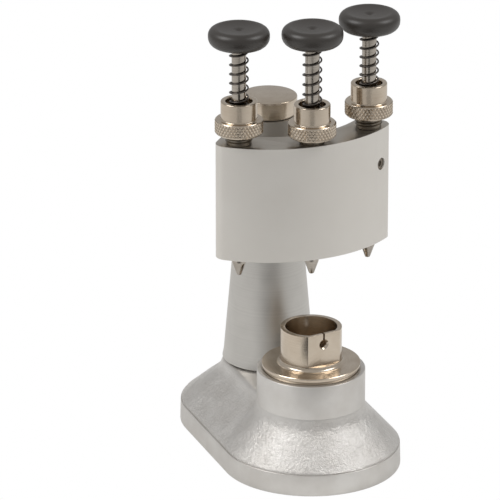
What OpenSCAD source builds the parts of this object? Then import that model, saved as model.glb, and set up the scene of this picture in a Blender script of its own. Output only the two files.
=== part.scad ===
// Watchmaker's hand-setting press: three sprung spindles in a swivelling head, which turns on a
// tapered pillar, over a reversible movement holder in the boss of a cast base.
// Millimetres. The origin is on the bench under the middle spindle, +Z up, with the front at -Y
// and the pillar at +Y.

/* [Overall] */
// Radius of the spindle circle, from the pillar's axis to each spindle
spindle_circle_r = 40; // [38.5:0.5:48]
// Angle between neighbouring spindles, which is also the step between the head's stops
spindle_angle = 35; // [33:1:40]
// Height of the spindle tips over the bench, with the spindles up
tip_z = 68.2; // [60:0.2:76]

/* [Base casting] */
// Radius of the base's two round ends
base_r = 30.2; // [28:0.2:38]
// Height of the upright rim round the base
rim_h = 7.7; // [5:0.1:10]
// Height of the base's top, where the boss and the pillar's seat begin
base_top_z = 23; // [19:0.5:27]
// Width of the ledge on the rim's top
rim_ledge = 0.4; // [0.1:0.1:1]
// Radius of the convex shoulder inside that ledge
shoulder_r = 1; // [0.5:0.1:3]
// Radius of the concave foot round the boss and the pillar's seat
foot_fillet_r = 7; // [4:0.1:8]
// Wall of the boss outside the holder's seat
boss_wall = 2.05; // [1.6:0.05:3]
// Height of the boss's top face
boss_top_z = 34.5; // [32:0.5:38]
// Depth of the hollow under the base, over the sole
hollow_h = 7; // [4:0.5:8]
// Wall left outside the hollow
hollow_wall = 6.2; // [5:0.2:8]

/* [Sole] */
// Thickness of the sole
sole_t = 2.1; // [1.5:0.1:3]
// How far the sole stands below the casting
sole_proud = 0.4; // [0.2:0.1:1]
// How far the sole is set in from the edge of the base
sole_inset = 2; // [1.5:0.1:4]

/* [Pillar] */
// Radius of the pillar's foot at its seam with the base
pillar_foot_r = 15.7; // [14.5:0.1:17]
// Height of the flare at the pillar's foot
pillar_flare_h = 2.5; // [1:0.1:4]
// How much narrower the pillar is above its flare
pillar_flare = 0.45; // [0.2:0.05:1]
// Radius of the pillar's top
pillar_top_r = 11.1; // [10:0.1:12]
// Radius of the screw that holds the pillar from below, an M8
pillar_screw_r = 4; // [3:0.5:5]
// Depth of the tapped hole in the pillar's foot
pillar_screw_depth = 22; // [15:1:26]

/* [Pivot] */
// Radius of the pin that the head turns on
pin_r = 5; // [4.5:0.1:5.4]
// Depth of the pin in the pillar
pin_depth = 24; // [16:1:26]
// Wall of the bush in the head's hub
bush_wall = 1.3; // [1:0.1:1.6]
// Thickness of the washer under the hub
thrust_washer_t = 0.65; // [0.5:0.05:1]
// Radius of the cap screwed onto the pin
cap_r = 9.6; // [9:0.1:11]
// Height of that cap
cap_h = 6.1; // [4:0.1:8]
// Radius of the index ball
ball_r = 1.5; // [1.2:0.1:1.6]

/* [Head] */
// Height of the head
head_h = 39.8; // [34:0.2:46]
// Gap between the pillar's top and the head
head_gap = 0.8; // [0.8:0.1:1.2]
// Wall of the head in front of the spindles' bores
front_wall = 1.6; // [1.4:0.1:3.5]
// Wall of the head behind those bores
back_wall = 3.5; // [1.5:0.1:4.5]
// Angle from the outer spindle to the centre of the head's end corners
end_angle = 5; // [4.5:0.1:9]
// Radius of the head's four upright corners
corner_r = 4; // [3:0.1:4.5]
// Width of the web between the head and its hub
web_w = 18; // [12:0.5:20]
// How far the web's top lies below the head's top
web_drop = 10.6; // [8:0.2:16]
// Radius of the hub round the pivot
hub_r = 10.4; // [9.8:0.1:12]
// How far the hub's top lies below the head's top
hub_drop = 3.2; // [2:0.1:6]
// Length of the lug behind the hub, for the index ball, from the pivot's axis
lug_l = 14.6; // [14:0.1:17]
// Height of the index ball over the hub's foot
index_h = 15; // [10:1:24]

/* [Spindles] */
// Radius of a spindle's rod
rod_r = 2.5; // [2:0.05:3]
// Wall round a rod, of a spigot's shank and of the lower guide bush
guide_wall = 1; // [0.8:0.05:1.3]
// Height of the knob's top over the tips
knob_top_over_tip = 86.5; // [80:0.5:96]
// Radius of a knob
knob_r = 10.15; // [8:0.05:10.4]
// Height of a knob
knob_h = 6.4; // [5:0.1:8]
// Radius of a knob's rounded upper edge
knob_round = 2.2; // [1:0.1:2.4]
// Radius of a knob's rounded lower edge
knob_under = 3; // [1:0.1:3.2]
// Depth of the dish in a knob's top
knob_dish = 0.8; // [0.3:0.1:1]
// Radius of a tip's working end
tip_end_r = 0.8; // [0.4:0.1:1.4]
// Length of a tip's taper
tip_taper_l = 4.5; // [3:0.1:6]
// Gap between a rod and the spring round it
coil_gap = 0.2; // [0.1:0.05:0.5]
// Radius of the spring's wire
wire_r = 0.3; // [0.2:0.05:0.3]
// Number of turns in a spring
coil_turns = 8; // [4:1:9]

/* [Stop nuts] */
// Gap under the left nut
nut_gap_left = 3.9; // [1:0.1:4.6]
// Gap under the middle nut
nut_gap_middle = 2.3; // [1:0.1:4.6]
// Gap under the right nut
nut_gap_right = 4.5; // [1:0.1:4.6]
// Radius of a nut's knurled flange
nut_r = 8.05; // [7.2:0.05:9]
// Height of the knurled flange
nut_flange_h = 4.75; // [4:0.05:6]
// Radius of a nut's plain collar
collar_r = 6.05; // [5.6:0.05:6.6]
// Height of the plain collar over the flange
collar_h = 6.3; // [5.5:0.1:8]
// Radius of the spigot's thread, an M9
spigot_r = 4.55; // [4.3:0.05:4.7]
// Height of the spigot over the head
spigot_h = 6.3; // [5.8:0.1:6.4]
// Depth of the cup in a nut's top, which holds the spring's foot
cup_depth = 3.5; // [2.5:0.1:4]
// Thickness of the ledge under that cup
ledge_t = 1; // [0.6:0.1:1.2]
// Length of a spigot's shank in the head
shank_l = 14; // [8:1:16]
// Length of a lower guide bush
guide_l = 10; // [6:1:14]
// How far up the bore that bush sits
guide_lift = 1.3; // [1:0.1:2]

/* [Movement holder] */
// Radius of the holder's flange
flange_r = 16.55; // [15.5:0.05:17]
// How far the flange's top stands over the boss
flange_proud = 2.2; // [1.5:0.1:3]
// Thickness of the flange's edge, over the gap that a finger or a blade lifts it by
flange_t = 1.35; // [1:0.05:1.4]
// Depth of the flange's seat in the boss
seat_depth = 1.2; // [0.8:0.1:2]
// Radius of the upper cup
cup_r = 10.25; // [9.5:0.05:11]
// Wall of the upper cup
cup_wall = 1.55; // [1.2:0.05:2]
// Height of the upper cup over the flange
cup_h = 12.5; // [10:0.1:13]
// Distance from the holder's axis to the flat on the upper cup
flat_in = 8.2; // [7.8:0.05:9]
// Wall behind that flat
flat_wall = 1; // [0.8:0.05:1.2]
// Angle that the holder's flat is turned to the right
holder_turn = 10; // [0:5:30]
// Radius of the hole in the flat
keyhole_r = 1.3; // [1:0.1:1.6]
// How far the hole's centre lies below the cup's rim
keyhole_drop = 3.8; // [3:0.1:5]
// Width of the slit from that hole to the rim
slit_w = 0.7; // [0.4:0.1:1]
// Radius of the lower cup, for the other size of movement
lower_cup_r = 12.4; // [11:0.1:12.6]
// Wall of the lower cup
lower_cup_wall = 1.5; // [1.2:0.1:2]
// Height of the lower cup
lower_cup_h = 11.2; // [9:0.1:11.5]
// Radius of the bore through the flange
through_r = 7.15; // [6:0.05:7.2]

/* [Fits] */
// Radial clearance of turning and sliding fits
run_fit = 0.05; // [0.02:0.01:0.08]
// Radial clearance of pressed and screwed fits
press_fit = 0.02; // [0.01:0.01:0.04]
// Gap between faces that meet
face_gap = 0.05; // [0.02:0.01:0.1]
// Gap between faces that move past each other
slide_gap = 0.1; // [0.08:0.01:0.2]

/* [Hidden] */
$fn = 64;
past = 1;                      // how far a cutter runs past the face it cuts
arc_steps = 10;                // straight steps in each rounded corner of a profile
band_steps = 48;               // straight steps along the head's long arcs

// Heights up the pillar and the head
pillar_seam = 0.1;             // the dark line between the casting and the pillar
pillar_z = base_top_z + pillar_seam;
pillar_top_z = tip_z + 5.8;    // the tips hang this far below the pillar's top
head_z = pillar_top_z + head_gap;
head_top_z = head_z + head_h;
hub_top_z = head_top_z - hub_drop;
index_z = head_z + index_h;

// The head's plan, as radii round the pivot, and the metal round a spindle's axis in it
guide_r = rod_r + guide_wall;
head_front = guide_r + front_wall;
head_back = guide_r + back_wall;
head_out_r = spindle_circle_r + head_front;
head_in_r = spindle_circle_r - head_back;
head_end = spindle_angle + end_angle;

// The spindles
tip_top_z = head_z + guide_lift - slide_gap;
knob_top_z = tip_z + knob_top_over_tip;
knob_z = knob_top_z - knob_h;
knob_crown = 2;                // the knob's metal over its rod
rod_top_z = knob_top_z - knob_dish - knob_crown;
stem_r = 1.2;                  // the rod's threaded end, inside its tip
stem_l = 4;
tip_r = guide_r - 0.3;         // the tip's shoulder, which stops the spindle under its bush
coil_r = rod_r + coil_gap + wire_r;
knob_neck_r = coil_r + wire_r + 0.2;
knob_neck_h = 0.5;
nut_bore_h = nut_flange_h + collar_h - cup_depth - ledge_t;
seat_washer_t = 0.6;
spring_cup_r = spigot_r - 0.1;
seat_fit = 0.15;               // clearance round a spring's seat in its cup
rod_clear = 0.2;               // clearance of that seat round the rod
nut_clear = 0.4;               // clearance of a nut's hole round the rod
bore_clear = 0.6;              // clearance of the head's bore between a rod's two bushes
lock_z = head_top_z - 12.2;    // the lock screw's height on the head
lock_r = 2;

// The index ball, its spring and its screw share one hole in the lug
index_r = ball_r + 0.2;
index_screw_l = 3;
index_screw_from = lug_l - index_screw_l - 0.2;
bush_out_r = pin_r + run_fit + bush_wall;

// The thread on the pivot's pin, under the crown of its cap
pin_thread_r = 3;
cap_crown = 1.5;

// The casting's inside
screw_head_r = 6.5;
screw_head_h = 8;
screw_pocket_r = 9;
pillar_floor = 9.4;            // metal between the screw's washer and the pillar
washer_t = 1.6;
pocket_top_z = base_top_z - pillar_floor;
screw_boss_r = 13;
holder_bore_r = lower_cup_r + 0.6;
flange_z = boss_top_z - seat_depth + face_gap;
flange_top_z = boss_top_z + flange_proud;
register_r = flange_r - 0.45;  // the step under the flange that fits the boss's seat
boss_r = register_r + boss_wall;
cup_rim_z = flange_top_z + cup_h;

// Points on an arc round (cx, cy), from one angle to the other
function arc(cx, cy, r, from, to, steps = arc_steps) =
    [for (i = [0 : steps]) let (a = from + (to - from) * i / steps)
        [cx + r * cos(a), cy + r * sin(a)]];

// The ogee from the rim's top (r0, z0) up to an upright wall at r1, reached at z1: a convex
// shoulder, a straight slope that is tangent to both arcs, and a concave foot
function ogee(r0, z0, r1, z1) =
    let (both = shoulder_r + foot_fillet_r,
         run = both - (r0 - r1),
         rise = z1 - z0,
         slope_l = sqrt(run * run + rise * rise - both * both),
         slope = atan2(slope_l, both) + atan2(run, rise))
    concat(arc(r0 - shoulder_r, z0, shoulder_r, 0, 90 - slope),
           arc(r1 + foot_fillet_r, z1, foot_fillet_r, 270 - slope, 180));

// Half of the casting's section, out from an upright wall at wall_r that rises to top_z
module casting_section(wall_r, top_z) {
    rim_draft = 0.2;
    polygon(concat([[0, sole_proud], [base_r, sole_proud], [base_r - rim_draft, rim_h]],
                   ogee(base_r - rim_draft - rim_ledge, rim_h, wall_r, base_top_z),
                   [[wall_r, top_z], [0, top_z]]));
}

module tube(r_out, r_in, h) {
    difference() {
        cylinder(r = r_out, h = h);
        translate([0, 0, -past]) cylinder(r = r_in, h = h + 2 * past);
    }
}

// A plate with two round ends, the boss's and the pillar's
module stadium(r, z, h) {
    translate([0, 0, z]) cylinder(r = r, h = h);
    translate([0, spindle_circle_r, z]) cylinder(r = r, h = h);
    translate([-r, 0, z]) cube([2 * r, spindle_circle_r, h]);
}

module at_pillar(z = 0) {
    translate([0, spindle_circle_r, z]) children();
}

// Turns round the pivot and goes out by r: angle 0 is the middle spindle, positive to the right
module round_pivot(angle, r, z = 0) {
    at_pillar(z) rotate([0, 0, angle]) translate([0, -r, 0]) children();
}

module base_casting() {
    color("silver") difference() {
        union() {
            rotate_extrude($fn = 120) casting_section(boss_r, boss_top_z);
            at_pillar() rotate_extrude($fn = 120) casting_section(pillar_foot_r, base_top_z);
            translate([0, spindle_circle_r, 0]) rotate([90, 0, 0])
                linear_extrude(height = spindle_circle_r) {
                    casting_section(pillar_foot_r, base_top_z);
                    mirror([1, 0]) casting_section(pillar_foot_r, base_top_z);
                }
        }
        // the seat of the sole and the hollow over it
        stadium(base_r - sole_inset + press_fit, sole_proud - past, sole_t - sole_proud + past);
        difference() {
            stadium(base_r - hollow_wall, sole_t - past, hollow_h + past);
            at_pillar(sole_t - past) cylinder(r = screw_boss_r, h = hollow_h + 2 * past);
        }
        // the pillar screw's pocket and hole
        at_pillar(sole_t - past)
            cylinder(r = screw_pocket_r, h = pocket_top_z - sole_t + past);
        at_pillar(pocket_top_z - past)
            cylinder(r = pillar_screw_r + run_fit, h = pillar_floor + 2 * past);
        // the seat of the holder's register, and the bore for its lower cup
        translate([0, 0, boss_top_z - seat_depth])
            cylinder(r = register_r + run_fit, h = seat_depth + past, $fn = 120);
        translate([0, 0, flange_z - lower_cup_h - 1])
            cylinder(r = holder_bore_r, h = lower_cup_h + 2);
    }
}

module base_sole() {
    color("dimgray") stadium(base_r - sole_inset, 0, sole_t - face_gap);
}

module pillar() {
    waist_r = pillar_foot_r - pillar_flare;
    color("gainsboro") at_pillar(pillar_z) difference() {
        rotate_extrude($fn = 120)
            polygon([[0, 0], [pillar_foot_r, 0], [waist_r, pillar_flare_h],
                     [pillar_top_r, pillar_top_z - pillar_z], [0, pillar_top_z - pillar_z]]);
        translate([0, 0, -past])
            cylinder(r = pillar_screw_r + press_fit, h = pillar_screw_depth + past);
        translate([0, 0, pillar_top_z - pillar_z - pin_depth])
            cylinder(r = pin_r + press_fit, h = pin_depth + past);
    }
}

module pillar_screw() {
    socket_r = 3.46;
    socket_depth = 4.5;
    head_bottom = pocket_top_z - washer_t - 2 * face_gap - screw_head_h;
    color("darkslategray") at_pillar(head_bottom) difference() {
        union() {
            cylinder(r = screw_head_r, h = screw_head_h);
            cylinder(r = pillar_screw_r,
                     h = pillar_z + pillar_screw_depth - 1 - head_bottom);
        }
        translate([0, 0, -past]) cylinder(r = socket_r, h = socket_depth + past, $fn = 6);
    }
}

module pillar_washer() {
    color("silver") at_pillar(pocket_top_z - washer_t - face_gap)
        tube(screw_pocket_r - 0.6, pillar_screw_r + run_fit, washer_t);
}

module pivot_pin() {
    journal_top = hub_top_z + slide_gap;
    notch_in = 0.7;            // how far a notch goes into the journal
    color("lightsteelblue") at_pillar() difference() {
        union() {
            translate([0, 0, pillar_top_z - pin_depth + face_gap])
                cylinder(r = pin_r, h = journal_top - pillar_top_z + pin_depth - face_gap);
            translate([0, 0, journal_top - past])
                cylinder(r = pin_thread_r, h = cap_h - cap_crown + past);
        }
        for (stop = [-1 : 1])
            rotate([0, 0, stop * spindle_angle])
                translate([0, pin_r + ball_r - notch_in, index_z]) sphere(r = ball_r + 0.1);
    }
}

module thrust_washer() {
    set_in = 0.7;              // how far it is set in from the pillar's edge
    color("goldenrod") at_pillar(pillar_top_z + face_gap)
        tube(pillar_top_r - set_in, pin_r + run_fit, thrust_washer_t);
}

module pivot_cap() {
    edge = 0.5;
    color("silver") at_pillar(hub_top_z + slide_gap + face_gap) difference() {
        rotate_extrude($fn = 96)
            polygon([[0, 0], [cap_r - edge, 0], [cap_r, edge], [cap_r, cap_h - edge],
                     [cap_r - edge, cap_h], [0, cap_h]]);
        translate([0, 0, -past])
            cylinder(r = pin_thread_r + press_fit, h = cap_h - cap_crown + past);
    }
}

// The head's plan round the pivot: an outer arc, an inner arc, and a round corner at each end
module head_plan() {
    function corner(side, r, from, to) =
        let (a = side * head_end)
        arc(r * sin(a), -r * cos(a), corner_r, from, to);
    out_r = head_out_r - corner_r;
    in_r = head_in_r + corner_r;
    polygon(concat(arc(0, 0, head_out_r, 270 - head_end, 270 + head_end, band_steps),
                   corner(1, out_r, 270 + head_end, 360 + head_end),
                   corner(1, in_r, head_end, 90 + head_end),
                   arc(0, 0, head_in_r, 270 + head_end, 270 - head_end, band_steps),
                   corner(-1, in_r, 90 - head_end, 180 - head_end),
                   corner(-1, out_r, 180 - head_end, 270 - head_end)));
}

module head_block() {
    color("silver") difference() {
        union() {
            at_pillar(head_z) linear_extrude(height = head_h) head_plan();
            // the web and the hub
            translate([-web_w / 2, spindle_circle_r - head_in_r - 1, head_z])
                cube([web_w, head_in_r + 1, head_h - web_drop]);
            at_pillar(head_z) cylinder(r = hub_r, h = head_h - hub_drop, $fn = 96);
            at_pillar(index_z) rotate([-90, 0, 0]) cylinder(r = index_r + 2, h = lug_l);
        }
        // the bore for the pivot's bush
        at_pillar(head_z - past)
            cylinder(r = bush_out_r + press_fit, h = head_h + 2 * past);
        // the index ball's hole, tapped for its screw
        at_pillar(index_z) rotate([-90, 0, 0]) cylinder(r = index_r + run_fit, h = lug_l + past);
        // three stepped bores: guide bush below, spigot above, and a clear hole between
        for (side = [-1 : 1]) {
            round_pivot(side * spindle_angle, spindle_circle_r, head_z - past)
                cylinder(r = guide_r + press_fit, h = guide_lift + guide_l + past);
            round_pivot(side * spindle_angle, spindle_circle_r, head_z)
                cylinder(r = rod_r + bore_clear, h = head_h);
            round_pivot(side * spindle_angle, spindle_circle_r, head_top_z - shank_l - face_gap)
                cylinder(r = guide_r + press_fit, h = shank_l + face_gap + past);
        }
        // the lock screw's hole, in front of the right spindle
        round_pivot(spindle_angle, spindle_circle_r, lock_z) rotate([90, 0, 0])
            cylinder(r = lock_r + run_fit, h = head_front + past);
    }
}

module pivot_bush() {
    color("goldenrod") at_pillar(head_z + face_gap)
        tube(bush_out_r, pin_r + run_fit, head_h - hub_drop - 2 * face_gap);
}

module index_ball() {
    ride_r = bush_out_r + press_fit + ball_r;
    color("lightsteelblue") at_pillar(index_z) translate([0, ride_r, 0]) sphere(r = ball_r);
}

module index_spring() {
    from_r = bush_out_r + press_fit + 2 * ball_r + slide_gap;
    color("gray") at_pillar(index_z) translate([0, from_r, 0]) rotate([-90, 0, 0])
        tube(index_r - 0.3, index_r - 0.8, index_screw_from - from_r - face_gap);
}

module index_screw() {
    slot_w = 0.6;
    slot_depth = 0.9;
    color("darkslategray") at_pillar(index_z) rotate([-90, 0, 0]) difference() {
        translate([0, 0, index_screw_from]) cylinder(r = index_r, h = index_screw_l);
        translate([-past - index_r, -slot_w / 2, index_screw_from + index_screw_l - slot_depth])
            cube([2 * (index_r + past), slot_w, slot_depth + past]);
    }
}

module lock_screw() {
    from_r = guide_r + face_gap;
    sunk = 0.5;                // how far the screw lies under the head's face
    socket_depth = 0.7;
    color("black") round_pivot(spindle_angle, spindle_circle_r, lock_z) rotate([90, 0, 0])
        difference() {
            translate([0, 0, from_r]) cylinder(r = lock_r, h = head_front - from_r - sunk);
            translate([0, 0, head_front - sunk - socket_depth])
                cylinder(r = lock_r / 2, h = socket_depth + past, $fn = 6);
        }
}

// A cylinder with one flat, the flat facing the front
module flatted(r, flat, h) {
    intersection() {
        cylinder(r = r, h = h, $fn = 120);
        translate([-r - past, -flat, -past]) cube([2 * (r + past), flat + r + past, h + 2 * past]);
    }
}

module movement_holder() {
    foot_r = 1.5;              // the fillet at the foot of the upper cup
    floor_t = 1.2;             // metal over the flange inside the upper cup
    wall_z = flange_top_z + floor_t;
    edge_z = flange_top_z - flange_t;
    edge = 0.2;                // the chamfer on the flange
    color("khaki") rotate([0, 0, holder_turn]) difference() {
        union() {
            rotate_extrude($fn = 120)
                polygon([[0, flange_z], [register_r, flange_z], [register_r, edge_z],
                         [flange_r - edge, edge_z], [flange_r, edge_z + edge],
                         [flange_r, flange_top_z - edge], [flange_r - edge, flange_top_z],
                         [0, flange_top_z]]);
            translate([0, 0, flange_top_z - past]) flatted(cup_r, flat_in, cup_h + past);
            translate([0, 0, flange_z - lower_cup_h])
                cylinder(r = lower_cup_r, h = lower_cup_h + past, $fn = 96);
            translate([0, 0, flange_top_z]) rotate_extrude($fn = 120)
                polygon(concat([[cup_r - 2, 0 - face_gap], [cup_r + foot_r, 0 - face_gap]],
                               arc(cup_r + foot_r, foot_r, foot_r, 270, 180),
                               [[cup_r - 2, foot_r]]));
        }
        translate([0, 0, wall_z])
            flatted(cup_r - cup_wall, flat_in - flat_wall, cup_h + past);
        translate([0, 0, flange_z - lower_cup_h - past])
            cylinder(r = through_r, h = cup_rim_z, $fn = 96);
        translate([0, 0, flange_z - lower_cup_h - past])
            cylinder(r = lower_cup_r - lower_cup_wall, h = lower_cup_h + past - 0.5, $fn = 96);
        // the keyhole in the flat: a countersunk hole with a slit up to the rim
        translate([0, 0, cup_rim_z - keyhole_drop]) rotate([90, 0, 0]) {
            cylinder(r = keyhole_r, h = cup_r + past);
            translate([0, 0, flat_in - 0.5])
                cylinder(r1 = keyhole_r, r2 = keyhole_r + 0.5 + past, h = 0.5 + past);
        }
        translate([-slit_w / 2, -cup_r, cup_rim_z - keyhole_drop])
            cube([slit_w, cup_r, keyhole_drop + past]);
    }
}

// Parts of one spindle, about their own axis
module rod() {
    color("lightsteelblue") {
        translate([0, 0, tip_top_z - stem_l]) cylinder(r = stem_r, h = stem_l + past);
        translate([0, 0, tip_top_z + face_gap])
            cylinder(r = rod_r, h = rod_top_z - tip_top_z - face_gap);
    }
}

module tip() {
    color("slategray") difference() {
        rotate_extrude()
            polygon([[0, tip_z], [tip_end_r, tip_z], [rod_r, tip_z + tip_taper_l],
                     [rod_r, head_z], [tip_r, head_z], [tip_r, tip_top_z], [0, tip_top_z]]);
        translate([0, 0, tip_top_z - stem_l - face_gap])
            cylinder(r = stem_r + press_fit, h = stem_l + past);
    }
}

module knob() {
    top = knob_top_z;
    rim = knob_r - knob_round;
    lip_w = 1.2;
    color("#241c18") difference() {
        rotate_extrude($fn = 96)
            polygon(concat([[0, knob_z - knob_neck_h], [knob_neck_r, knob_z - knob_neck_h],
                            [knob_neck_r, knob_z]],
                           arc(knob_r - knob_under, knob_z + knob_under, knob_under, 270, 360),
                           arc(rim, top - knob_round, knob_round, 0, 90),
                           [[rim - lip_w, top - knob_dish], [0, top - knob_dish]]));
        translate([0, 0, knob_z - knob_neck_h - past])
            cylinder(r = rod_r + press_fit,
                     h = rod_top_z + face_gap - knob_z + knob_neck_h + past);
    }
}

// The spring's wire, as a swept six-sided tube that closes at both ends
module spring(seat_z) {
    per_turn = 12;
    sides = 6;
    z0 = seat_z + wire_r + face_gap;
    z1 = knob_z - knob_neck_h - wire_r - face_gap;
    rings = coil_turns * per_turn;
    flat_turn = 0.8;           // the share of a turn that lies flat at each end
    function lift(t) =
        z0 + (z1 - z0) * min(1, max(0, (t - flat_turn) / (coil_turns - 2 * flat_turn)));
    points = [for (i = [0 : rings]) let (t = i / per_turn, a = 360 * t)
        for (j = [0 : sides - 1]) let (b = 360 * j / sides, r = coil_r + wire_r * cos(b))
            [r * cos(a), r * sin(a), lift(t) + wire_r * sin(b)]];
    walls = [for (i = [0 : rings - 1]) for (j = [0 : sides - 1])
        let (a = i * sides + j, b = i * sides + (j + 1) % sides)
            [a, b, b + sides, a + sides]];
    first = [for (j = [sides - 1 : -1 : 0]) j];
    last = [for (j = [0 : sides - 1]) rings * sides + j];
    color("dimgray") polyhedron(points, concat([first], walls, [last]), convexity = 8);
}

module spring_seat(nut_z) {
    color("silver") translate([0, 0, nut_z + nut_bore_h + ledge_t + face_gap])
        tube(spring_cup_r - seat_fit, rod_r + rod_clear, seat_washer_t);
}

module stop_nut(nut_z) {
    top = nut_flange_h + collar_h;
    edge = 0.7;                // the chamfer on the knurled flange
    rim = 0.3;                 // the chamfer on the collar
    foot = 0.5;                // the fillet at the collar's foot
    color("khaki") translate([0, 0, nut_z]) difference() {
        rotate_extrude($fn = 96)
            polygon(concat([[0, 0], [nut_r - edge, 0], [nut_r, edge],
                            [nut_r, nut_flange_h - edge], [nut_r - edge, nut_flange_h]],
                           arc(collar_r + foot, nut_flange_h + foot, foot, 270, 180),
                           [[collar_r, top - rim], [collar_r - rim, top], [0, top]]));
        translate([0, 0, -past]) cylinder(r = spigot_r + run_fit, h = nut_bore_h + past);
        translate([0, 0, -past]) cylinder(r = rod_r + nut_clear, h = top + 2 * past);
        translate([0, 0, top - cup_depth]) cylinder(r = spring_cup_r, h = cup_depth + past);
    }
}

module spigot() {
    color("#2a2724") difference() {
        union() {
            translate([0, 0, head_top_z - shank_l]) cylinder(r = guide_r, h = shank_l + past);
            translate([0, 0, head_top_z + face_gap]) cylinder(r = spigot_r, h = spigot_h - face_gap);
        }
        translate([0, 0, head_top_z - shank_l - past])
            cylinder(r = rod_r + run_fit, h = shank_l + spigot_h + 2 * past);
    }
}

module guide_bush() {
    color("goldenrod") translate([0, 0, head_z + guide_lift])
        tube(guide_r, rod_r + run_fit, guide_l - face_gap);
}

module at_spindle(side) {
    round_pivot(side * spindle_angle, spindle_circle_r) children();
}

// One spindle's part by its name, so that the three spindles share every size
module spindle_part(part, side, gap) {
    nut_z = head_top_z + gap;
    seat_z = nut_z + nut_bore_h + ledge_t + face_gap + seat_washer_t;
    at_spindle(side) {
        if (part == "rod") rod();
        if (part == "tip") tip();
        if (part == "knob") knob();
        if (part == "spring") spring(seat_z);
        if (part == "spring_seat") spring_seat(nut_z);
        if (part == "stop_nut") stop_nut(nut_z);
        if (part == "spigot") spigot();
        if (part == "guide_bush") guide_bush();
    }
}

SPINDLE_PARTS = ["rod", "tip", "knob", "spring", "spring_seat", "stop_nut", "spigot",
                 "guide_bush"];

base_casting();
base_sole();
pillar();
pillar_screw();
pillar_washer();
pivot_pin();
thrust_washer();
pivot_cap();
head_block();
pivot_bush();
index_ball();
index_spring();
index_screw();
lock_screw();
movement_holder();
for (part = SPINDLE_PARTS) {
    spindle_part(part, -1, nut_gap_left);
    spindle_part(part, 0, nut_gap_middle);
    spindle_part(part, 1, nut_gap_right);
}
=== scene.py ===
import math

import bmesh
import bpy
from mathutils import Matrix, Vector, noise


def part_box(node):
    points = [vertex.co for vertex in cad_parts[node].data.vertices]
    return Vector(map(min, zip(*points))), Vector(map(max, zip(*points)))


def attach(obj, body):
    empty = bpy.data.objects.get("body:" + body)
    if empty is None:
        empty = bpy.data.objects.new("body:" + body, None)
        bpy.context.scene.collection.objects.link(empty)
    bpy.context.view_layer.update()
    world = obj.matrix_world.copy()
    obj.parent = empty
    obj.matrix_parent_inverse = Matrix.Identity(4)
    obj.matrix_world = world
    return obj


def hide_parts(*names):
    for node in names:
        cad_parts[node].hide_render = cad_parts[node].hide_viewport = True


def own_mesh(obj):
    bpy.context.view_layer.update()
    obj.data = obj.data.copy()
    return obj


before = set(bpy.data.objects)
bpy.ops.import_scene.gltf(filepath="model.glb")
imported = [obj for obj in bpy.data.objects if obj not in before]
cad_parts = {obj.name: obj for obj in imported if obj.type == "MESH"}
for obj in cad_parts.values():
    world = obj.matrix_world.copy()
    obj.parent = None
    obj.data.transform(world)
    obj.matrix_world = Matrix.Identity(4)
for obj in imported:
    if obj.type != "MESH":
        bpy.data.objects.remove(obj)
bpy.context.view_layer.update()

MM = 0.001
scene = bpy.context.scene


# ---- Camera ---------------------------------------------------------------------------------
# A long lens from the front left, a little above the head. It stands 1.77 m away, so that
# uprights stay nearly parallel.
view_azimuth = math.radians(-20.684)
view_elevation = math.radians(21.404)
view_distance = 1774.5 * MM
view_target = Vector((-13.19, 22.81, 69.82)) * MM
to_camera = Vector((math.sin(view_azimuth) * math.cos(view_elevation),
                    -math.cos(view_azimuth) * math.cos(view_elevation),
                    math.sin(view_elevation)))
camera = bpy.data.objects.new("camera", bpy.data.cameras.new("camera"))
camera.data.sensor_width = 36
camera.data.lens = 381.6
camera.data.clip_end = 20
camera.location = view_target + to_camera * view_distance
camera.rotation_mode = "QUATERNION"
camera.rotation_quaternion = (-to_camera).to_track_quat("-Z", "Y")
scene.collection.objects.link(camera)
scene.camera = camera


# ---- Table, light and air -------------------------------------------------------------------
# White card under the press, with a soft box on each side and a pale room all round. A black
# card that lies on the table in front gives the bare metal its dark bands.
weld = 0.0001 * MM  # points closer than this are one


def linear(hex_colour):
    """The linear RGBA of an sRGB hex colour, such as b8b6b2."""
    parts = [int(hex_colour[i:i + 2], 16) / 255 for i in (0, 2, 4)]
    return [c / 12.92 if c <= 0.04045 else ((c + 0.055) / 1.055) ** 2.4 for c in parts] + [1]


def add(tree, kind, settings=None, links=None):
    """Adds a node; settings are its properties or input values, and links its wired inputs."""
    made = tree.nodes.new(kind)
    for name, value in (settings or {}).items():
        if isinstance(name, str) and hasattr(made, name):
            setattr(made, name, value)
        else:
            made.inputs[name].default_value = value
    for name, (source, output) in (links or {}).items():
        tree.links.new(source.outputs[output], made.inputs[name])
    return made


def new_material(name):
    """An empty material, and its node tree."""
    material = bpy.data.materials.new(name)
    material.use_nodes = True
    material.node_tree.nodes.clear()
    return material, material.node_tree


def surface(tree, settings, links):
    """The Principled shader and the output that every material ends in."""
    shader = add(tree, "ShaderNodeBsdfPrincipled", settings, links)
    add(tree, "ShaderNodeOutputMaterial", links={"Surface": (shader, "BSDF")})


def keep(bm, name, material, smooth_under=math.radians(35)):
    """Closes, turns outwards and shades a finished bmesh, and makes it an object."""
    bmesh.ops.remove_doubles(bm, verts=bm.verts, dist=weld)
    bmesh.ops.recalc_face_normals(bm, faces=bm.faces)
    mesh = bpy.data.meshes.new(name)
    bm.to_mesh(mesh)
    bm.free()
    mesh.shade_smooth()
    mesh.set_sharp_from_angle(angle=smooth_under)
    piece = bpy.data.objects.new(name, mesh)
    scene.collection.objects.link(piece)
    piece.data.materials.append(material)
    return piece


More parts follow.
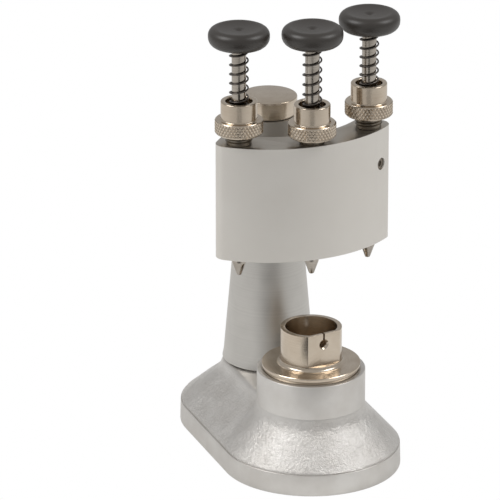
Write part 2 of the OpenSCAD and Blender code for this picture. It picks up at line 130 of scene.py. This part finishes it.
def paper():
    """Matt white card: no gloss, with a faint unevenness."""
    material, tree = new_material("matt white card")
    place = add(tree, "ShaderNodeTexCoord")
    grain = add(tree, "ShaderNodeTexNoise", {"Scale": 1 / (2.5 * MM), "Detail": 2.0},
                {"Vector": (place, "Object")})
    colour = add(tree, "ShaderNodeMix", {"data_type": "RGBA", 6: linear("fafaf9"),
                                         7: linear("fdfdfc")}, {0: (grain, 0)})
    surface(tree, {"Roughness": 0.9, "Specular IOR Level": 0.1}, {"Base Color": (colour, 2)})
    return material


table_half = 3.0
bm = bmesh.new()
bmesh.ops.create_grid(bm, x_segments=1, y_segments=1, size=table_half)
table = keep(bm, "table", paper())
table.visible_camera = False


def velvet():
    """Black velvet, which gives back almost no light, and the same from every side."""
    material, tree = new_material("black velvet")
    light = add(tree, "ShaderNodeEmission", {"Color": linear("101010"), "Strength": 1.0})
    add(tree, "ShaderNodeOutputMaterial", links={"Surface": (light, "Emission")})
    return material


lit_point = Vector((0, 20, 70)) * MM


def soft_box(name, azimuth, elevation, distance, size, watts):
    """A square lamp that faces the press; azimuth 0 is the front, positive to the right."""
    a, e = math.radians(azimuth), math.radians(elevation)
    out = Vector((math.sin(a) * math.cos(e), -math.cos(a) * math.cos(e), math.sin(e)))
    lamp = bpy.data.objects.new(name, bpy.data.lights.new(name, "AREA"))
    lamp.data.shape = "SQUARE"
    lamp.data.size = size
    lamp.data.energy = watts
    lamp.location = lit_point + out * distance
    lamp.rotation_mode = "QUATERNION"
    lamp.rotation_quaternion = (-out).to_track_quat("-Z", "Y")
    scene.collection.objects.link(lamp)


soft_box("key_left", azimuth=-97, elevation=51, distance=0.9, size=0.42, watts=2.9)
soft_box("fill_right", azimuth=64, elevation=49, distance=1.0, size=0.45, watts=2.9)

card_width, card_length, card_away, card_lift = 260 * MM, 500 * MM, 400 * MM, 2 * MM
bm = bmesh.new()
bmesh.ops.create_grid(bm, x_segments=1, y_segments=1, size=0.5)
bmesh.ops.transform(bm, verts=bm.verts, matrix=(
    Matrix.Rotation(view_azimuth, 4, "Z") @ Matrix.Translation((0, -card_away, card_lift))
    @ Matrix.Diagonal((card_width, card_length, 1, 1))))
black_card = keep(bm, "black_card", velvet())
black_card.visible_camera = False
black_card.visible_diffuse = False
black_card.visible_shadow = False

world = bpy.data.worlds.new("studio")
world.use_nodes = True
world.node_tree.nodes.clear()
seen = add(world.node_tree, "ShaderNodeLightPath")
shade = add(world.node_tree, "ShaderNodeMix",
            {"data_type": "RGBA", 6: linear("bcbcbc"), 7: linear("ffffff")},
            {0: (seen, "Is Camera Ray")})
sky = add(world.node_tree, "ShaderNodeBackground", {"Strength": 1.0}, {"Color": (shade, 2)})
add(world.node_tree, "ShaderNodeOutputWorld", links={"Surface": (sky, "Background")})
scene.world = world
scene.view_settings.view_transform = "Standard"


# ---- Sole -----------------------------------------------------------------------------------
# A flat plate of black rubber let into the underside of the casting. It grips the bench and
# hides the pillar's screw.
loose_weld = 0.002 * MM  # the CAD nodes' loose triangles meet within this


def moulded_rubber():
    """Dull black with a fine even grain, and scuffed grey in places."""
    material, tree = new_material("moulded rubber")
    place = add(tree, "ShaderNodeTexCoord")
    grain = add(tree, "ShaderNodeTexNoise", {"Scale": 1 / (0.6 * MM), "Detail": 3.0},
                {"Vector": (place, "Object")})
    scuff = add(tree, "ShaderNodeTexNoise", {"Scale": 1 / (15 * MM), "Detail": 5.0},
                {"Vector": (place, "Object")})
    colour = add(tree, "ShaderNodeMix", {"data_type": "RGBA", 6: linear("161616"),
                                         7: linear("2b2a29")}, {0: (scuff, 0)})
    rough = add(tree, "ShaderNodeMapRange", {"To Min": 0.6, "To Max": 0.8},
                {"Value": (scuff, 0)})
    bump = add(tree, "ShaderNodeBump", {"Strength": 0.3, "Distance": 0.1 * MM},
               {"Height": (grain, 0)})
    surface(tree, {}, {"Base Color": (colour, 2), "Roughness": (rough, 0), "Normal": (bump, 0)})
    return material


def dress(node, material):
    """Gives a CAD node whose shape is right its material."""
    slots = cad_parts[node].data.materials
    slots.clear()
    slots.append(material)


def eased(node, body, material, width, segments=2):
    """A copy of a CAD node with its sharp edges broken, as a file or a barrel leaves them."""
    flat_within, sharp_over = math.radians(0.4), math.radians(38)
    bm = bmesh.new()
    bm.from_mesh(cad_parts[node].data)
    bmesh.ops.remove_doubles(bm, verts=bm.verts, dist=loose_weld)
    bmesh.ops.dissolve_limit(bm, angle_limit=flat_within, verts=bm.verts, edges=bm.edges)
    sharp = [e for e in bm.edges
             if len(e.link_faces) == 2 and e.calc_face_angle() > sharp_over]
    bmesh.ops.bevel(bm, geom=sharp, offset=width, offset_type="OFFSET", segments=segments,
                    profile=0.5, affect="EDGES", clamp_overlap=True, material=-1)
    piece = keep(bm, node + "_eased", material)
    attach(piece, body)
    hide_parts(node)
    return piece


dress("base_sole", moulded_rubber())


# ---- Base casting ---------------------------------------------------------------------------
# One aluminium sand casting, tumbled and sprayed silver, so that its slopes keep a hammered
# skin. The rim and the boss are turned smooth afterwards, which leaves a bright corner on each.
def cast_skin(turned_below, turned_above):
    """Silver with hammered dents and bright and dull patches; smooth satin where it is turned."""
    material, tree = new_material("silver painted casting")
    place = add(tree, "ShaderNodeTexCoord")
    height = add(tree, "ShaderNodeSeparateXYZ", links={0: (place, "Object")})
    low = add(tree, "ShaderNodeMapRange",
              {"From Min": turned_below, "From Max": turned_below + 0.6 * MM},
              {"Value": (height, "Z")})
    high = add(tree, "ShaderNodeMapRange",
               {"From Min": turned_above - 1.5 * MM, "From Max": turned_above,
                "To Min": 1.0, "To Max": 0.0}, {"Value": (height, "Z")})
    cast = add(tree, "ShaderNodeMath", {"operation": "MULTIPLY"}, {0: (low, 0), 1: (high, 0)})
    dents = add(tree, "ShaderNodeTexNoise", {"Scale": 1 / (1.1 * MM), "Detail": 5.0,
                                             "Roughness": 0.7}, {"Vector": (place, "Object")})
    grit = add(tree, "ShaderNodeTexNoise", {"Scale": 1 / (0.35 * MM), "Detail": 2.0},
               {"Vector": (place, "Object")})
    patches = add(tree, "ShaderNodeTexNoise", {"Scale": 1 / (9 * MM), "Detail": 4.0},
                  {"Vector": (place, "Object")})
    tone = add(tree, "ShaderNodeMapRange", {"From Min": 0.3, "From Max": 0.7},
               {"Value": (patches, 0)})
    colour = add(tree, "ShaderNodeMix", {"data_type": "RGBA", 6: linear("cbc7c2"),
                                         7: linear("d8d5d1")}, {0: (tone, 0)})
    dull = add(tree, "ShaderNodeMapRange", {"From Min": 0.3, "From Max": 0.7, "To Min": 0.30,
                                            "To Max": 0.40}, {"Value": (dents, 0)})
    rough = add(tree, "ShaderNodeMix", {"data_type": "FLOAT", 2: 0.42},
                {0: (cast, 0), 3: (dull, 0)})
    both = add(tree, "ShaderNodeMath", {"operation": "MULTIPLY_ADD", 1: 0.25},
               {0: (grit, 0), 2: (dents, 0)})
    depth = add(tree, "ShaderNodeMapRange", {"To Min": 0.02 * MM, "To Max": 0.32 * MM},
                {"Value": (cast, 0)})
    bump = add(tree, "ShaderNodeBump", {"Strength": 1.0}, {"Height": (both, 0),
                                                           "Distance": (depth, 0)})
    surface(tree, {"Metallic": 0.95}, {"Base Color": (colour, 2), "Roughness": (rough, 0),
                                       "Normal": (bump, 0)})
    return material


def section(corners, segments=4):
    """A closed half-section as edges in a bmesh; corners are (radius, height, rounding) in mm."""
    bm = bmesh.new()
    made = [bm.verts.new((r * MM, 0, z * MM)) for r, z, _ in corners]
    bm.faces.new(made)
    for v, (_, _, rounding) in zip(made, corners):
        if rounding:
            bmesh.ops.bevel(bm, geom=[v], offset=rounding * MM, offset_type="OFFSET",
                            segments=segments, profile=0.5, affect="VERTICES",
                            clamp_overlap=True, material=-1)
    bmesh.ops.delete(bm, geom=bm.faces[:], context="FACES_ONLY")
    on_axis = [e for e in bm.edges if all(v.co.x < weld for v in e.verts)]
    bmesh.ops.delete(bm, geom=on_axis, context="EDGES")
    return bm


def spin_up(bm, axis, steps):
    """Spins a half-section the whole way round an upright axis at that point."""
    bmesh.ops.translate(bm, verts=bm.verts, vec=(axis.x, axis.y, 0))
    bmesh.ops.spin(bm, geom=bm.verts[:] + bm.edges[:], cent=(axis.x, axis.y, 0), axis=(0, 0, 1),
                   angle=math.tau, steps=steps, use_merge=True, use_duplicate=False)
    bmesh.ops.remove_doubles(bm, verts=bm.verts, dist=weld)


def run_round(bm, length):
    """Takes a half-section round a plate with two round ends, length apart."""
    geom = bm.verts[:] + bm.edges[:]
    for centre, way in ((0, 1), (length, -1)):
        geom = bmesh.ops.spin(bm, geom=geom, cent=(0, centre, 0), axis=(0, 0, 1), angle=-math.pi,
                              steps=64, use_merge=False, use_duplicate=False)["geom_last"]
        edges = [e for e in geom if isinstance(e, bmesh.types.BMEdge)]
        geom = bmesh.ops.extrude_edge_only(bm, edges=edges)["geom"]
        moved = [v for v in geom if isinstance(v, bmesh.types.BMVert)]
        bmesh.ops.translate(bm, verts=moved, vec=(0, way * length, 0))
        geom = moved + [e for e in geom if isinstance(e, bmesh.types.BMEdge)
                        and all(v in moved for v in e.verts)]
    bmesh.ops.remove_doubles(bm, verts=bm.verts, dist=10 * weld)


def cast_base():
    """The casting with its creases run out and a hammered skin, and its turned boss and rim."""
    rim_top, boss_foot, boss_top, grain = 7.7 * MM, 23.2 * MM, 34.5 * MM, 0.55 * MM
    start, fade_over = 0.3 * MM, 2 * MM      # where the hammered skin starts, and fades in
    under_rim, under_boss = 0.5 * MM, 0.3 * MM   # how far it lies under the turned bands
    skin = cast_skin(rim_top, boss_foot)
    bm = bmesh.new()
    bm.from_mesh(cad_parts["base_casting"].data)
    bmesh.ops.remove_doubles(bm, verts=bm.verts, dist=loose_weld)
    rough = keep(bm, "base_rough", skin)
    remesh = rough.modifiers.new("skin", "REMESH")
    remesh.mode = "VOXEL"
    remesh.voxel_size = grain
    bm = bmesh.new()
    bm.from_object(rough, bpy.context.evaluated_depsgraph_get())
    bpy.data.objects.remove(rough)
    sloping = [v for v in bm.verts if rim_top + start < v.co.z < boss_foot + 0.5 * MM
               and abs(v.normal.z) > 0.02]
    for _ in range(14):
        bmesh.ops.smooth_vert(bm, verts=sloping, factor=0.5, use_axis_x=True, use_axis_y=True,
                              use_axis_z=True)
    bm.normal_update()
    for v in sloping:
        fade = min(1.0, (v.co.z - rim_top - start) / fade_over,
                   (boss_foot - v.co.z) / fade_over)
        lump = noise.noise(v.co / (3.2 * MM)) * 0.10 + noise.noise(v.co / (1.3 * MM)) * 0.06
        v.co += v.normal * lump * MM * max(0.0, fade)
    for v in bm.verts:
        flat = Vector((v.normal.x, v.normal.y, 0))
        if v.co.z < rim_top + 0.2 * MM:
            v.co -= flat * under_rim
            v.co.z = min(v.co.z, rim_top - 0.05 * MM) if v.co.z > rim_top - 0.4 * MM else v.co.z
        elif v.co.z > boss_foot - 0.6 * MM:
            v.co -= flat * under_boss * min(1.0, (v.co.z - boss_foot + 0.6 * MM) / (0.5 * MM))
            v.co.z = min(v.co.z, boss_top - under_boss)
    body = keep(bm, "base_casting_skin", skin, math.radians(60))
    foot, foot_r, rim_r, rim_in_r = 0.4, 30.2, 30.0, 28.3
    rim = section([(rim_in_r, foot, 0), (foot_r, foot, 0.3), (rim_r, rim_top / MM, 0.25),
                   (rim_in_r, rim_top / MM, 0)])
    run_round(rim, pillar_away)
    boss_r, seat_r, seat_z, skirt_z = 18.15, 16.15, 33.4, 22.8
    boss = section([(seat_r, seat_z, 0), (boss_r, skirt_z, 0), (boss_r, boss_top / MM, 0.3),
                    (seat_r, boss_top / MM, 0.15)])
    spin_up(boss, Vector((0, 0, 0)), 128)
    for part in (rim, boss):
        bmesh.ops.recalc_face_normals(part, faces=part.faces)
    return body, keep(rim, "base_rim", skin), keep(boss, "base_boss", skin)


pillar_away = 40 * MM  # from the boss's axis to the pillar's
for piece in cast_base():
    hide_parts("base_casting")
    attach(piece, "base")


# ---- Pillar, its screw and washer -----------------------------------------------------------
# A tapered pillar turned from aluminium bar and bead-blasted. It stands on the casting, held by
# one screw from below, and a thin dark seam shows between the two.
def turned(name, light, dark, roughness, mark, depth, streak=0.06):
    """Lathe rings, close and faint, with slow changes of tone across them; mark is their pitch."""
    material, tree = new_material(name)
    place = add(tree, "ShaderNodeTexCoord")
    along = add(tree, "ShaderNodeAttribute", {"attribute_name": "rings"})
    rings = add(tree, "ShaderNodeTexNoise",
                {"noise_dimensions": "1D", "Scale": 1 / mark, "Detail": 3.0, "Roughness": 0.7},
                {"W": (along, "Fac")})
    haze = add(tree, "ShaderNodeTexNoise", {"Scale": 1 / (6 * MM), "Detail": 5.0},
               {"Vector": (place, "Object")})
    pits = add(tree, "ShaderNodeTexNoise", {"Scale": 1 / (0.25 * MM), "Detail": 2.0},
               {"Vector": (place, "Object")})
    both = add(tree, "ShaderNodeMath", {"operation": "ADD"}, {0: (rings, 0), 1: (haze, 0)})
    tone = add(tree, "ShaderNodeMapRange", {"From Min": 0.7, "From Max": 1.3},
               {"Value": (both, 0)})
    colour = add(tree, "ShaderNodeMix", {"data_type": "RGBA", 6: linear(dark), 7: linear(light)},
                 {0: (tone, 0)})
    rough = add(tree, "ShaderNodeMapRange", {"To Min": roughness - streak,
                                             "To Max": roughness + streak}, {"Value": (tone, 0)})
    height = add(tree, "ShaderNodeMath", {"operation": "MULTIPLY_ADD", 1: 0.4},
                 {0: (pits, 0), 2: (rings, 0)})
    bump = add(tree, "ShaderNodeBump", {"Strength": 1.0, "Distance": depth},
               {"Height": (height, 0)})
    surface(tree, {"Metallic": 1.0}, {"Base Color": (colour, 2), "Roughness": (rough, 0),
                                      "Normal": (bump, 0)})
    return material


def mark_rings(piece, centre, axis=Vector((0, 0, 1))):
    """Stores how far the lathe tool had gone at each point: out from the axis and along it."""
    rings = piece.data.attributes.new("rings", "FLOAT", "POINT")
    places = [v.co - centre for v in piece.data.vertices]
    rings.data.foreach_set("value", [at.cross(axis).length + at.dot(axis) for at in places])


def dress_turned(node, material):
    """Gives a turned CAD node whose shape is right its lathe marks and its material."""
    low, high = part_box(node)
    mark_rings(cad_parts[node], (low + high) / 2)
    dress(node, material)


def lathed(name, node, body, material, corners, steps=96, segments=4):
    """A turned piece in place of a CAD node, round that node's own upright axis."""
    low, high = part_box(node)
    axis = (low + high) / 2
    bm = section(corners, segments)
    spin_up(bm, axis, steps)
    piece = keep(bm, name, material)
    mark_rings(piece, axis)
    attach(piece, body)
    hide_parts(node)


def span(node):
    """A CAD node's lowest and highest z, in mm."""
    low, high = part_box(node)
    return low.z / MM, high.z / MM


low, high = span("pillar")
foot_r, waist_r, top_r, seam_r = 15.7, 15.25, 11.1, 14.9
foot, flare_h, seam_h = low + 0.45, 2.5, 0.4
bar = turned("blasted aluminium bar", "cac7c2", "c0bdb8", 0.42, 0.6 * MM, 0.003 * MM, streak=0.03)
lathed("pillar_turned", "pillar", "base", bar,
       [(0, low, 0), (seam_r, low, 0), (seam_r, low + seam_h, 0), (foot_r, foot, 0.1),
        (waist_r, low + flare_h, 1.2), (top_r, high, 0.3), (0, high, 0)], steps=128)
blackened = turned("black oxide steel", "8c8479", "686157", 0.38, 0.3 * MM, 0.008 * MM)
ground = turned("ground steel", "b5aea5", "958d83", 0.17, 0.35 * MM, 0.003 * MM)
dress_turned("pillar_screw", blackened)
dress_turned("pillar_washer", ground)


# ---- Pivot pin, thrust washer and bush ------------------------------------------------------
# The head turns on a ground steel pin pressed into the pillar. A bronze bush in the hub and a
# bronze washer on the pillar's top carry it, and neither shows but for the washer's edge.
bronze = turned("turned bronze", "c79a5a", "a67c42", 0.3, 0.3 * MM, 0.004 * MM)
dress_turned("pivot_pin", ground)
dress_turned("thrust_washer", bronze)
dress_turned("pivot_bush", bronze)


# ---- Head -----------------------------------------------------------------------------------
# A curved block of aluminium, milled all over and blasted to an even satin, with its edges
# broken. The web and the turned hub behind carry it round the pivot.
def satin_block():
    """Even blasted grain; milling and painted shade on the flat top; painted shade on the hub
    behind.
    """
    material, tree = new_material("blasted aluminium block")
    place = add(tree, "ShaderNodeTexCoord")
    grain = add(tree, "ShaderNodeTexNoise", {"Scale": 1 / (0.3 * MM), "Detail": 2.0},
                {"Vector": (place, "Object")})
    cloud = add(tree, "ShaderNodeTexNoise", {"Scale": 1 / (14 * MM), "Detail": 5.0},
                {"Vector": (place, "Object")})
    cuts = add(tree, "ShaderNodeMapping", {"Scale": (1 / (0.3 * MM), 1 / (8 * MM), 1 / (2 * MM))},
               {"Vector": (place, "Object")})
    milling = add(tree, "ShaderNodeTexNoise", {"Scale": 1.0, "Detail": 2.0},
                  {"Vector": (cuts, 0)})
    facing = add(tree, "ShaderNodeSeparateXYZ", links={0: (place, "Normal")})
    upward = add(tree, "ShaderNodeMapRange", {"From Min": 0.8, "From Max": 0.95},
                 {"Value": (facing, "Z")})
    colour = add(tree, "ShaderNodeMix", {"data_type": "RGBA", 6: linear("dfdbd5"),
                                         7: linear("e5e2dd")}, {0: (cloud, 0)})
    # Painted shade: faces that look up are given a darker colour than the sides.
    painted_shade_top = add(tree, "ShaderNodeMix", {"data_type": "RGBA", 7: linear("bbb5ac")},
                 {0: (upward, 0), 6: (colour, 2)})
    # Painted shade: the hub behind the spindles is given a darker colour, for the shade it stands
    # in.
    where = add(tree, "ShaderNodeSeparateXYZ", links={0: (place, "Object")})
    hub_front = 29.4 * MM
    behind = add(tree, "ShaderNodeMapRange", {"From Min": hub_front - MM, "From Max": hub_front},
                 {"Value": (where, "Y")})
    painted_shade_hub = add(tree, "ShaderNodeMix", {"data_type": "RGBA", 7: linear("a6a19a")},
                 {0: (behind, 0), 6: (painted_shade_top, 2)})
    rough = add(tree, "ShaderNodeMix", {"data_type": "FLOAT", 2: 0.7, 3: 0.4}, {0: (upward, 0)})
    height = add(tree, "ShaderNodeMix", {"data_type": "FLOAT"},
                 {0: (upward, 0), 2: (grain, 0), 3: (milling, 0)})
    bump = add(tree, "ShaderNodeBump", {"Strength": 0.7, "Distance": 0.03 * MM},
               {"Height": (height, 0)})
    surface(tree, {"Metallic": 1.0}, {"Base Color": (painted_shade_hub, 2), "Roughness": (rough, 0),
                                      "Normal": (bump, 0)})
    return material


head = eased("head_block", "head", satin_block(), 0.5 * MM, segments=3)


# ---- Index ball, its spring and screw, and the lock screw -----------------------------------
# A steel ball under a short spring in the hub's lug drops into three notches of the pin, so the
# head clicks to each spindle. A black grub screw in the front locks the right spindle's bush.
def drawn_wire():
    """Dark, slightly blue wire with fine scratches along it."""
    material, tree = new_material("oil-tempered wire")
    place = add(tree, "ShaderNodeTexCoord")
    fine = add(tree, "ShaderNodeTexNoise", {"Scale": 1 / (0.15 * MM), "Detail": 3.0},
               {"Vector": (place, "Object")})
    slow = add(tree, "ShaderNodeTexNoise", {"Scale": 1 / (3 * MM), "Detail": 3.0},
               {"Vector": (place, "Object")})
    colour = add(tree, "ShaderNodeMix", {"data_type": "RGBA", 6: linear("4a4542"),
                                         7: linear("716b66")}, {0: (slow, 0)})
    rough = add(tree, "ShaderNodeMapRange", {"To Min": 0.22, "To Max": 0.4},
                {"Value": (fine, 0)})
    bump = add(tree, "ShaderNodeBump", {"Strength": 0.4, "Distance": 0.01 * MM},
               {"Height": (fine, 0)})
    surface(tree, {"Metallic": 1.0}, {"Base Color": (colour, 2), "Roughness": (rough, 0),
                                      "Normal": (bump, 0)})
    return material


wire = drawn_wire()
dress_turned("index_ball", ground)
dress("index_spring", wire)
pivot = Vector((0, pillar_away, 0))
for node in ("index_screw", "lock_screw"):
    screw = eased(node, "head", blackened, 0.12 * MM)
    low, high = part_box(node)
    centre = (low + high) / 2
    outward = (centre - pivot) * Vector((1, 1, 0))
    mark_rings(screw, centre, outward.normalized())


# ---- Pivot cap ------------------------------------------------------------------------------
# A nickel-plated cap screwed down on the pin, which keeps the head from lifting. Its top shows
# the facing tool's rings.
nickel = turned("nickel plate", "cfc3b3", "b7a896", 0.2, 0.35 * MM, 0.004 * MM)
low, high = span("pivot_cap")
cap_r = 9.6
lathed("pivot_cap_turned", "pivot_cap", "base", nickel,
       [(0, low, 0), (cap_r, low, 0.35), (cap_r, high, 0.4), (0, high, 0)])


# ---- Guide bushes and spigots ---------------------------------------------------------------
# Each spindle slides in a bronze bush at the head's foot and in a black steel spigot pressed in
# from above. The spigot's M9 thread stands over the head and carries the stop nut.
SPINDLES = ("left", "middle", "right")
thread_r, thread_root_r, thread_pitch = 4.55, 3.9, 1.0
core_r, core_l, shank_r, bore_r = 4.15, 6.25, 3.5, 2.46


def thread(spigot, from_z, to_z):
    """A V thread on a spigot: a rib that climbs round it and roots inside its plain core."""
    low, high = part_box(spigot)
    axis = (low + high) / 2
    turns = (to_z - from_z) / thread_pitch - 1
    steps = 32
    bm = bmesh.new()
    ridge = [bm.verts.new(((axis.x / MM + r) * MM, axis.y, (from_z + z) * MM))
             for r, z in ((thread_root_r, 0.02), (thread_r, 0.5 * thread_pitch),
                          (thread_root_r, 0.98 * thread_pitch))]
    wires = [bm.edges.new((ridge[i], ridge[(i + 1) % 3])) for i in range(3)]
    bmesh.ops.spin(bm, geom=ridge + wires, cent=(axis.x, axis.y, 0), axis=(0, 0, 1),
                   dvec=(0, 0, thread_pitch * MM / steps), angle=math.tau * turns,
                   steps=round(turns * steps), use_merge=False, use_duplicate=False)
    bmesh.ops.holes_fill(bm, edges=[e for e in bm.edges if e.is_boundary], sides=0)
    piece = keep(bm, spigot + "_thread", blackened)
    mark_rings(piece, axis)
    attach(piece, "head")


for side in SPINDLES:
    dress_turned(side + "_guide_bush", bronze)
    spigot = side + "_spigot"
    low, high = span(spigot)
    lathed(spigot + "_turned", spigot, "head", blackened,
           [(bore_r, low, 0.1), (shank_r, low, 0.2), (shank_r, high - core_l, 0),
            (core_r, high - core_l, 0.1), (core_r, high, 0.3), (bore_r, high, 0.2)], steps=64)
    thread(spigot, high - core_l + 0.15, high - 0.2)


# ---- Rods and tips --------------------------------------------------------------------------
# Ground steel rods, drawn 0.1 mm thinner all round than the CAD's 5 mm, to slide clear in their
# spigots. Each ends in a screwed-on tip that tapers to a blunt end, with a shoulder that stops
# under the guide bush.
rod_r, stem_r, stem_l, stem_gap = 2.4, 1.2, 3.9, 0.05
tip_end_r, taper_l, shoulder_r, shoulder_z = 0.8, 4.5, 3.2, 6.6
for side in SPINDLES:
    rod, tip = side + "_rod", side + "_tip"
    low, high = span(rod)
    stem_top = span(tip)[1] + stem_gap
    lathed(rod + "_ground", rod, side + "_spindle", ground,
           [(0, low, 0), (stem_r, low, 0.15), (stem_r, stem_top, 0), (rod_r, stem_top, 0.15),
            (rod_r, high, 0.2), (0, high, 0)], steps=64)
    low, high = span(tip)
    lathed(tip + "_turned", tip, side + "_spindle", ground,
           [(0, low, 0), (tip_end_r, low, 0.3), (rod_r, low + taper_l, 0.3),
            (rod_r, low + shoulder_z, 0), (shoulder_r, low + shoulder_z, 0.15),
            (shoulder_r, high, 0.15), (stem_r + 0.02, high, 0.1),
            (stem_r + 0.02, high - stem_l, 0), (0, high - stem_l, 0)], steps=64)


# ---- Spring seats and springs ---------------------------------------------------------------
# A thin steel washer lies on the ledge in each stop nut. On it stands an open coil spring of
# 0.6 mm wire, ground flat at both ends, that lifts the knob again.
turns, flat, wire_r = 8, 0.8, 0.3 * MM


def coil(side):
    """Wire wound on a helix, with its first and last part of a turn lying flat."""
    node = side + "_spring"
    low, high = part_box(node)
    axis = (low + high) / 2
    steps = 36
    foot, top = low.z + wire_r, high.z - wire_r
    mean_r = (high.x - low.x) / 2 - wire_r
    bm = bmesh.new()
    bmesh.ops.create_circle(bm, cap_ends=False, segments=10, radius=wire_r)
    bmesh.ops.rotate(bm, verts=bm.verts, cent=(0, 0, 0),
                     matrix=Matrix.Rotation(math.pi / 2, 3, "X"))
    bmesh.ops.translate(bm, verts=bm.verts, vec=(axis.x + mean_r, axis.y, foot))
    geom = bm.verts[:] + bm.edges[:]
    climbing = turns - 2 * flat
    for part, rise in ((flat, 0.0), (climbing, top - foot), (flat, 0.0)):
        count = round(part * steps)
        made = bmesh.ops.spin(bm, geom=geom, cent=(axis.x, axis.y, 0), axis=(0, 0, 1),
                              dvec=(0, 0, rise / count), angle=math.tau * count / steps,
                              steps=count, use_merge=False, use_duplicate=False)
        geom = made["geom_last"]
    bmesh.ops.holes_fill(bm, edges=[e for e in bm.edges if e.is_boundary], sides=0)
    piece = keep(bm, side + "_coil", wire, math.radians(60))
    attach(piece, "head")
    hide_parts(node)
    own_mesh(piece)


for side in SPINDLES:
    dress_turned(side + "_spring_seat", ground)
    coil(side)


# ---- Stop nuts ------------------------------------------------------------------------------
# Nickel-plated brass, turned in one piece: a diamond-knurled flange to grip and a plain collar
# whose cup holds the spring. Screwed up or down on the spigot, it sets how deep a hand goes on.
def knurled(bm, axis, radius, from_z, to_z, count, depth):
    """Presses diamonds into a band: every second crossing of its grid goes in."""
    pitch = math.tau / count
    near = 0.002 * MM
    band = [v for v in bm.verts
            if abs(math.hypot(v.co.x - axis.x, v.co.y - axis.y) - radius) < near
            and from_z - near < v.co.z < to_z + near]
    levels = sorted({round(v.co.z / MM, 3) for v in band})
    sunk = set()
    for v in band:
        column = round(math.atan2(v.co.y - axis.y, v.co.x - axis.x) / pitch)
        if (column + levels.index(round(v.co.z / MM, 3))) % 2 == 0:
            sunk.add(v)
    inside = set(band)
    for face in [f for f in bm.faces if len(f.verts) == 4 and all(v in inside for v in f.verts)]:
        low_pair = [v for v in face.verts if v in sunk]
        bmesh.utils.face_split(face, low_pair[0], low_pair[1])
    for v in sunk:
        out = Vector((v.co.x - axis.x, v.co.y - axis.y, 0)).normalized()
        v.co -= out * depth


flange_r, flange_h, edge = 8.05, 4.75, 0.45
rows, teeth, knurl_depth = 4, 40, 0.36
collar_r, cup_r, cup_depth = 6.05, 4.45, 3.5
nut_bore_r, hole_r, ledge_t = 4.6, 2.8, 1.0


def stop_nut(side):
    """One nut, its section taken up from the bore's foot round the outside and into the cup."""
    node = side + "_stop_nut"
    low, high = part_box(node)
    axis, z, top = (low + high) / 2, low.z / MM, high.z / MM
    flange_top, cup_foot = z + flange_h, top - cup_depth
    corners = [(nut_bore_r, z, 0.3), (flange_r - edge, z, 0), (flange_r, z + edge, 0)]
    corners += [(flange_r, z + edge + (flange_h - 2 * edge) * i / rows, 0)
                for i in range(1, rows)]
    corners += [(flange_r, flange_top - edge, 0), (flange_r - edge, flange_top, 0.1),
                (collar_r, flange_top, 0.5), (collar_r, top, 0.4), (cup_r, top, 0.4),
                (cup_r, cup_foot, 0.1), (hole_r, cup_foot, 0.1),
                (hole_r, cup_foot - ledge_t, 0), (nut_bore_r, cup_foot - ledge_t, 0)]
    bm = section(corners)
    spin_up(bm, axis, 2 * teeth)
    knurled(bm, axis, flange_r * MM, (z + edge) * MM, (flange_top - edge) * MM, 2 * teeth,
            knurl_depth * MM)
    piece = keep(bm, node + "_turned", nickel)
    mark_rings(piece, axis)
    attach(piece, side + "_nut")
    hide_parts(node)


for side in SPINDLES:
    stop_nut(side)


# ---- Knobs ----------------------------------------------------------------------------------
# Moulded black-brown plastic, pressed on the rod's top. The top is dished for a finger, and the
# rounded edge is worn to a soft sheen.
def moulded_plastic():
    """Brown-black with a satin skin, fine moulding grain and faint rubbed patches."""
    material, tree = new_material("moulded brown-black plastic")
    place = add(tree, "ShaderNodeTexCoord")
    grain = add(tree, "ShaderNodeTexNoise", {"Scale": 1 / (0.4 * MM), "Detail": 3.0},
                {"Vector": (place, "Object")})
    rubbed = add(tree, "ShaderNodeTexNoise", {"Scale": 1 / (7 * MM), "Detail": 4.0},
                 {"Vector": (place, "Object")})
    colour = add(tree, "ShaderNodeMix", {"data_type": "RGBA", 6: linear("28231f"),
                                         7: linear("35302b")}, {0: (rubbed, 0)})
    rough = add(tree, "ShaderNodeMapRange", {"To Min": 0.3, "To Max": 0.48},
                {"Value": (rubbed, 0)})
    bump = add(tree, "ShaderNodeBump", {"Strength": 0.5, "Distance": 0.012 * MM},
               {"Height": (grain, 0)})
    surface(tree, {"Specular IOR Level": 0.6}, {"Base Color": (colour, 2),
                                                "Roughness": (rough, 0), "Normal": (bump, 0)})
    return material


plastic = moulded_plastic()
knob_r, neck_r, neck_h = 10.15, 3.55, 0.5
crown_r, dish_r, dimple_r, dimple_foot_r = 7.3, 4.6, 1.5, 0.5
for side in SPINDLES:
    low, high = span(side + "_knob")
    under, dish, dimple_top, dimple = low + neck_h, high - 0.55, high - 0.7, high - 1.2
    lathed(side + "_knob_moulded", side + "_knob", side + "_spindle", plastic,
           [(0, low, 0), (neck_r, low, 0.2), (neck_r, under, 0.3), (knob_r, under, 3.2),
            (knob_r, high, 2.5), (crown_r, high, 1.0), (dish_r, dish, 2.0),
            (dimple_r, dimple_top, 0.8), (dimple_foot_r, dimple, 0.4), (0, dimple, 0)],
           segments=6)


# ---- Movement holder ------------------------------------------------------------------------
# A nickel-plated brass ring with a cup at each end, for two sizes of movement. It lifts out of
# the boss and turns over. The cup's flat and keyhole leave room for the winding stem.
holder = eased("movement_holder", "holder", nickel, 0.18 * MM, segments=3)
mark_rings(holder, Vector((0, 0, 0)))
